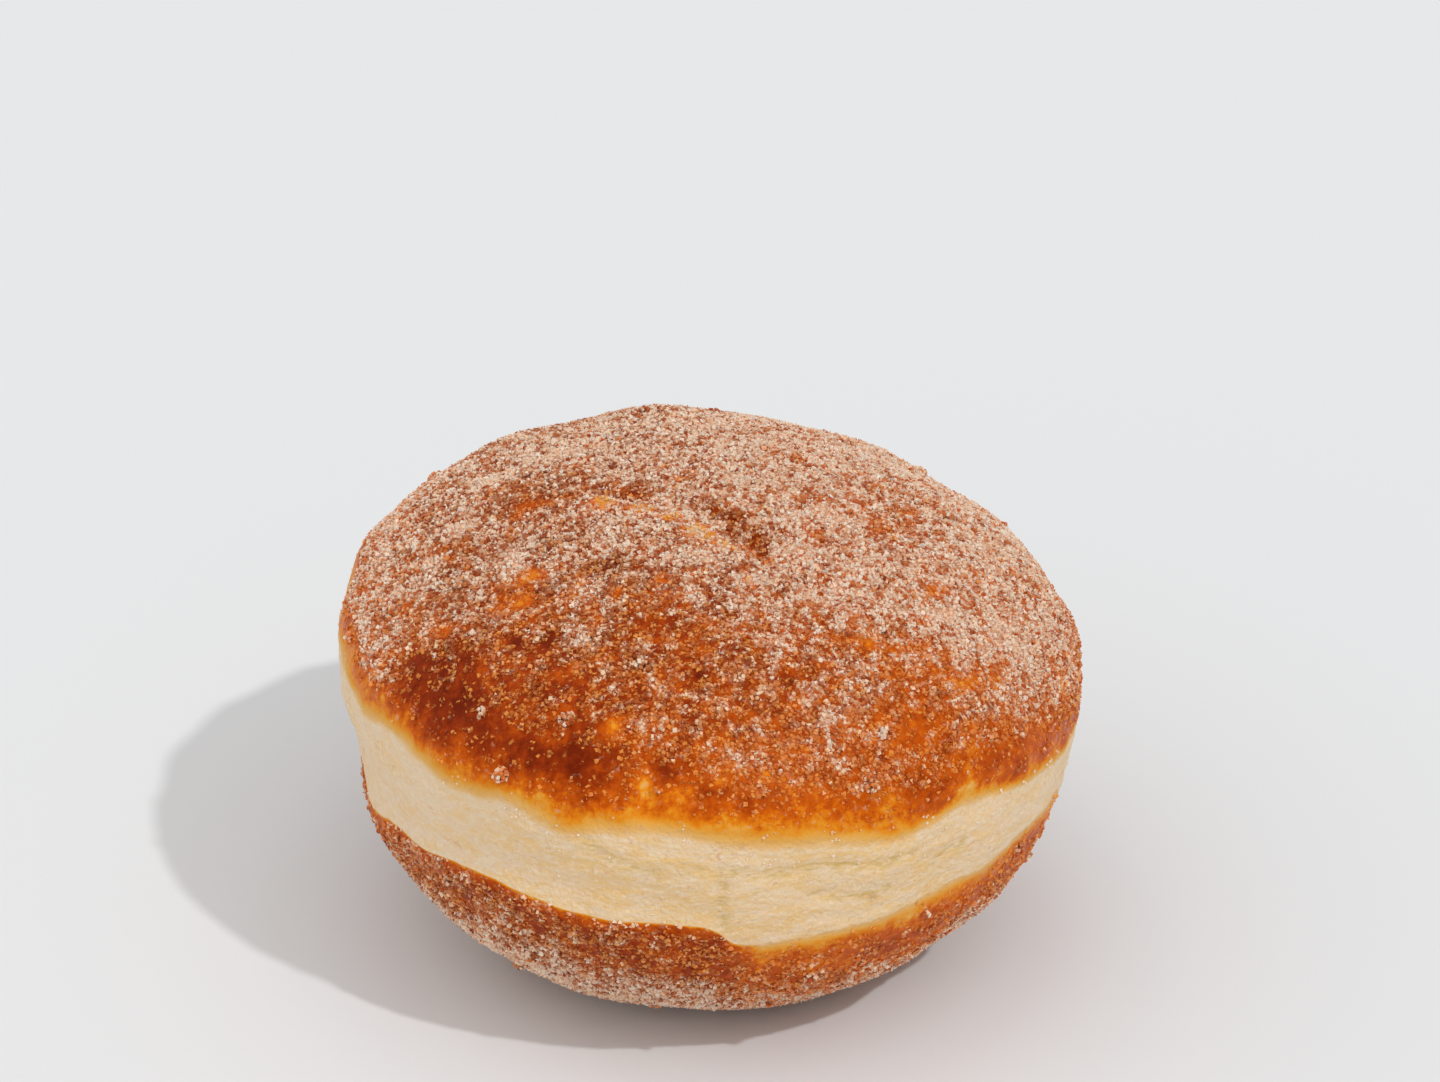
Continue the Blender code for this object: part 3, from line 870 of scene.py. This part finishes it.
def grow(name, tree, start=None, **settings):
    """Grow a piece with its node tree and keep the result as a plain mesh."""
    piece = bpy.data.objects.new(name, start or bpy.data.meshes.new(name))
    bpy.context.scene.collection.objects.link(piece)
    growth = piece.modifiers.new("growth", "NODES")
    growth.node_group = tree
    for item in tree.interface.items_tree:
        label = item.name.lower().replace(" ", "_")
        if item.in_out == "INPUT" and label in settings:
            growth[item.identifier] = settings[label]
    graph = bpy.context.evaluated_depsgraph_get()
    mesh = bpy.data.meshes.new_from_object(piece.evaluated_get(graph))
    piece.modifiers.remove(growth)
    plain = piece.data
    piece.data = mesh
    bpy.data.meshes.remove(plain)
    mesh.name = name
    return piece


def keep(piece):
    """The piece moves with the doughnut and stands for its solid."""
    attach(piece, "root")
    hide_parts("doughnut")


dough = grow("fried_dough", dough_tree(), material=dough_material())
keep(dough)

# ---------------------------------------------------------------------------------------------
# The sugar: granulated sugar that the hot doughnut was rolled in. Single crystals cling to the
# greasy crusts, thickest behind and round the base, and hardly any to the dry pale band.
# ---------------------------------------------------------------------------------------------


def random_number(tree, low, high, seed):
    """A random number for each point."""
    kind = "FLOAT_VECTOR" if isinstance(low, tuple) else "FLOAT"
    sources = {"Min": low, "Max": high, "Seed": seed}
    return place(tree, "FunctionNodeRandomValue", sources, data_type=kind)


def stored(tree, label, kind="FLOAT"):
    """A value that was kept on the geometry."""
    return place(tree, "GeometryNodeInputNamedAttribute", {"Name": label}, data_type=kind)


def map_by_grain(grains, corners, sides, columns):
    """Give every grain, of so many corners on faces of so many sides, its own square of the map."""
    corner = place(grains.tree, "GeometryNodeInputIndex")
    grain = calculate("FLOOR", corner / float(corners) + 0.001)
    of_face = calculate("MODULO", corner, float(sides))
    row = calculate("FLOOR", grain / columns)
    column = grain - row * columns
    across = calculate("GREATER_THAN", of_face, 0.5) - calculate("GREATER_THAN", of_face, 2.5)
    up = calculate("GREATER_THAN", of_face, 1.5)
    return store_map(grains, (column + across * 0.6 + 0.2) / columns, (row + up * 0.6 + 0.2) / columns)


def grains_on(points, shape, size, seed):
    """Put an uneven grain of this shape on every point, each turned its own way."""
    tree = points.tree
    points = store(points, "tone", random_number(tree, 0.0, 1.0, seed + 4.0))
    full_turn = (6.283, 6.283, 6.283)
    turn = random_number(tree, (0.0, 0.0, 0.0), full_turn, seed + 1.0)
    stretch = random_number(tree, (0.6, 0.6, 0.6), (1.25, 1.25, 1.25), seed + 2.0) * size
    sources = {"Points": points, "Instance": shape, "Rotation": turn, "Scale": stretch}
    grains = place(tree, "GeometryNodeInstanceOnPoints", sources)
    grains = place(tree, "GeometryNodeRealizeInstances", {"Geometry": grains})
    chipped = random_number(tree, (-0.1, -0.1, -0.1), (0.1, 0.1, 0.1), seed + 3.0) * size
    return place(tree, "GeometryNodeSetPosition", {"Geometry": grains, "Offset": chipped})


def whole_crystal(tree):
    """A boxy crystal of sugar, one unit across."""
    return place(tree, "GeometryNodeMeshCube", {"Size": 1.0})


def broken_crystal(tree):
    """A chip of a crystal with four faces, about one unit across."""
    sources = {"Vertices": 3, "Radius Top": 0.0, "Radius Bottom": 0.62, "Depth": 0.9}
    return place(tree, "GeometryNodeMeshCone", sources)


def rest_on_table(grains):
    """Keep grains just clear of the table."""
    where = place(grains.tree, "GeometryNodeInputPosition")
    resting = calculate("MAXIMUM", where, (-1.0, -1.0, 0.03 * MM))
    return place(grains.tree, "GeometryNodeSetPosition", {"Geometry": grains, "Position": resting})


def sugar_tree(name, shape, corners, sides, columns):
    """Loose grains scattered over one zone of the dough, heaped a little where they lie thick."""
    inputs = {
        "Dough": bpy.types.NodeSocketObject,
        "Zone": "sugar_on_crown",
        "Grain Size": 0.45,
        "Grains per Square mm": 2.0,
        "Heap Height": 0.14,
        "Seed": 1,
        "Material": bpy.types.NodeSocketMaterial,
    }
    tree, size = new_tree(name, "GeometryNodeTree", inputs)
    info = place(tree, "GeometryNodeObjectInfo", {"Object": size["Dough"]}, output="Geometry")
    thickness = stored(tree, size["Zone"])
    density = thickness * size["Grains per Square mm"] * (1.0 / MM**2)
    sources = {"Mesh": info, "Density": density, "Seed": size["Seed"]}
    points = place(tree, "GeometryNodeDistributePointsOnFaces", sources)
    lift = random_number(tree, -0.4, 1.0, size["Seed"] + 9.0) * thickness * size["Heap Height"]
    offset = points.beside("Normal") * (lift * MM)
    points = place(tree, "GeometryNodeSetPosition", {"Geometry": points, "Offset": offset})
    grains = grains_on(points, shape(tree), size["Grain Size"] * MM, size["Seed"])
    grains = map_by_grain(rest_on_table(grains), corners, sides, columns)
    grains = place(tree, "GeometryNodeSetMaterial", {"Geometry": grains, "Material": size["Material"]})
    return give(tree, {"Geometry": grains})


def sugar_material():
    """Granulated sugar: clear crystals that look pale, or take the crust's colour when soaked."""
    material, shader = new_material("sugar")
    tree = material.node_tree
    point = place(tree, "ShaderNodeTexCoord", output="Object") * (1.0 / MM)
    sources = {"Point": point, "Tone": attribute(tree, "tone")}
    surface = {
        "Base Color": use(tree, fried_colours, sources, "Grain"),
        "Roughness": 0.3,
        "Specular IOR Level": 0.25,
        "Specular Tint": (1.0, 0.80, 0.62, 1.0),
        "Subsurface Weight": 0.5,
        "Subsurface Radius": (1.0, 0.8, 0.7),
        "Subsurface Scale": 0.3 * MM,
    }
    connect(shader, surface)
    return material


crystals = sugar_tree("whole_crystals", whole_crystal, 24, 4, 128.0)
chips = sugar_tree("broken_crystals", broken_crystal, 12, 3, 224.0)
sugar = sugar_material()

# The layers of loose grains: piece, kind of grain, zone, grain size, grains per square mm, seed
SCATTERED = (
    ("crown_sugar", crystals, "sugar_on_crown", 0.42, 2.0, 11),
    ("crown_fine_sugar", chips, "sugar_on_crown", 0.46, 6.3, 12),
    ("base_sugar", crystals, "sugar_on_base", 0.42, 1.5, 13),
    ("base_fine_sugar", chips, "sugar_on_base", 0.46, 6.0, 14),
    ("band_sugar", crystals, "sugar_on_band", 0.24, 0.7, 15),
)
for name, kind, zone, grain_size, amount, seed in SCATTERED:
    settings = {"zone": zone, "grain_size": grain_size, "grains_per_square_mm": amount, "seed": seed}
    keep(grow(name, kind, dough=dough, material=sugar, **settings))

# ---------------------------------------------------------------------------------------------
# The clumps: sugar that the doughnut's steam stuck together, in lumps of a few crystals that
# stand out of both crusts along a spiral, as they do on the solid.
# ---------------------------------------------------------------------------------------------


CLUMP_STEPS = 165
CLUMP_SEED = 7


def clump_marks():
    """One mark for each step of the spiral from the base to the top."""
    chance = random.Random(CLUMP_SEED)
    uneven = math.radians(4)
    marks = []
    for step in range(CLUMP_STEPS):
        share = (step + 0.5) / CLUMP_STEPS
        latitude = math.asin(2 * share - 1) + chance.uniform(-uneven, uneven)
        azimuth = step * GOLDEN_ANGLE + chance.uniform(-uneven, uneven)
        marks.append((latitude, azimuth))
    mesh = bpy.data.meshes.new("clump_marks")
    mesh.from_pydata([(0.0, 0.0, 0.0)] * len(marks), [], [])
    for column, label in enumerate(("latitude", "azimuth")):
        kept = mesh.attributes.new(label, "FLOAT", "POINT")
        kept.data.foreach_set("value", [mark[column] for mark in marks])
    return mesh


def clump_tree():
    """Heaps of crystals over a small core, on the marks that lie on a crust and off the table."""
    inputs = {
        "Marks": bpy.types.NodeSocketGeometry,
        "Largest Radius": 1.3,
        "Step in Radius": 0.27,
        "Grains in a Clump": 18.0,
        "Grain Size": 0.42,
        "Clear of Band": 1.6,
        "Clear of Table": 3.0,
        "Seed": 5,
        "Material": bpy.types.NodeSocketMaterial,
    }
    tree, size = new_tree("sugar_clumps", "GeometryNodeTree", inputs)
    latitude = stored(tree, "latitude")
    azimuth = stored(tree, "azimuth")
    skin = use(tree, dough_skin, {"Latitude": latitude, "Azimuth": azimuth})
    height = part_of(skin.beside("Plain Point"), "Z")
    standing = part_of(skin, "Z")
    below = calculate("GREATER_THAN", skin.beside("Below Rim"), size["Clear of Band"])
    above = calculate("GREATER_THAN", height, size["Clear of Band"] + 0.5)
    clear = calculate("GREATER_THAN", standing, size["Clear of Table"])
    wanted = calculate("MULTIPLY", calculate("MAXIMUM", below, above), clear)
    points = place(tree, "GeometryNodeMeshToPoints", {"Mesh": size["Marks"]})
    points = store(points, "wanted", wanted)
    points = store(points, "facing", skin.beside("Normal"), "FLOAT_VECTOR")
    points = store(points, "above_edge", skin.beside("Above Edge"))
    points = store(points, "below_rim", skin.beside("Below Rim"))
    points = store(points, "sugar_level", wanted * 0.6)
    points = place(tree, "GeometryNodeSetPosition", {"Geometry": points, "Position": skin * MM})

    # The clumps that stay come in three sizes by turns
    kept = stored(tree, "wanted")
    before = place(tree, "GeometryNodeAccumulateField", {0: kept}, data_type="FLOAT", output="Trailing")
    smaller = calculate("MODULO", before + 0.5, 3.0) * size["Step in Radius"]
    points = store(points, "clump_radius", size["Largest Radius"] - smaller)
    unwanted = calculate("LESS_THAN", kept, 0.5)
    points = place(tree, "GeometryNodeDeleteGeometry", {"Geometry": points, "Selection": unwanted})
    radius = stored(tree, "clump_radius")
    facing = stored(tree, "facing", "FLOAT_VECTOR")
    upright = place(tree, "FunctionNodeAlignRotationToVector", {"Vector": facing}, axis="Z")
    core = place(tree, "GeometryNodeMeshIcoSphere", {"Radius": 0.8, "Subdivisions": 2})
    core = place(tree, "GeometryNodeTransform", {"Geometry": core, "Scale": (1.0, 0.85, 0.75)})
    sources = {
        "Points": points,
        "Instance": core,
        "Rotation": upright,
        "Scale": radius * MM,
    }
    cores = place(tree, "GeometryNodeInstanceOnPoints", sources)
    cores = place(tree, "GeometryNodeRealizeInstances", {"Geometry": cores})
    core_area = 4.5
    density = size["Grains in a Clump"] / core_area * (1.0 / MM**2)
    sources = {"Mesh": cores, "Density": density, "Seed": size["Seed"]}
    spots = place(tree, "GeometryNodeDistributePointsOnFaces", sources)
    grains = grains_on(spots, whole_crystal(tree), size["Grain Size"] * MM, size["Seed"])
    grains = map_by_grain(grains, 24, 4, 128.0)
    grains = place(tree, "GeometryNodeSetMaterial", {"Geometry": grains, "Material": size["Material"]})
    return give(tree, {"Geometry": grains})


clumps = grow("sugar_clumps", clump_tree(), start=clump_marks(), material=sugar)
keep(clumps)

# ---------------------------------------------------------------------------------------------
# The setting: a plain pale table in a softly lit room, with one high window at the right front
# that throws a soft-edged shadow to the left behind, and a camera that looks down by 27 degrees.
# ---------------------------------------------------------------------------------------------


def build_table():
    """A wide flat matt table top at the doughnut's foot."""
    white, shader = new_material("table_white")
    connect(shader, {"Base Color": (0.81, 0.82, 0.83, 1.0), "Roughness": 0.9})
    reach = 4.0
    mesh = bpy.data.meshes.new("table")
    corners = [(-reach, -reach, 0), (reach, -reach, 0), (reach, reach, 0), (-reach, reach, 0)]
    mesh.from_pydata(corners, [], [(0, 1, 2, 3)])
    table = bpy.data.objects.new("table", mesh)
    mesh.materials.append(white)
    bpy.context.scene.collection.objects.link(table)


def light_room():
    """Soft light from all round, most of it high at the left front, and a sun at the right front."""
    world = bpy.data.worlds.new("room")
    bpy.context.scene.world = world
    world.use_nodes = True
    background = world.node_tree.nodes["Background"]
    background.inputs["Color"].default_value = (1.0, 1.0, 1.0, 1.0)
    direction = place(world.node_tree, "ShaderNodeTexCoord", output="Generated")
    brighter = calculate("MAXIMUM", along(direction, (-0.40, -0.40, 0.82)), 0.0)
    overhead = calculate("MAXIMUM", along(direction, (0.0, 0.0, 1.0)), 0.0)
    feed(background.inputs["Strength"], brighter * 0.67 + overhead * 0.19 + 0.24)
    data = bpy.data.lights.new("window", "SUN")
    data.energy = 1.02
    data.angle = math.radians(2.2)
    window = bpy.data.objects.new("window", data)
    azimuth = math.radians(-41.3)
    elevation = math.radians(49.3)
    level = math.cos(elevation)
    towards = Vector((level * math.cos(azimuth), level * math.sin(azimuth), math.sin(elevation)))
    window.rotation_euler = towards.to_track_quat("Z", "Y").to_euler()
    bpy.context.scene.collection.objects.link(window)


def set_camera():
    """A long lens at arm's length."""
    data = bpy.data.cameras.new("camera")
    data.lens = 110.74
    data.sensor_width = 36.0
    data.clip_start = 0.01
    camera = bpy.data.objects.new("camera", data)
    camera.location = (0.00145, -0.47588, 0.29396)
    camera.rotation_euler = (math.radians(63.0), 0.0, 0.0)
    bpy.context.scene.collection.objects.link(camera)
    bpy.context.scene.camera = camera


build_table()
light_room()
set_camera()
bpy.context.scene.view_settings.view_transform = "Standard"
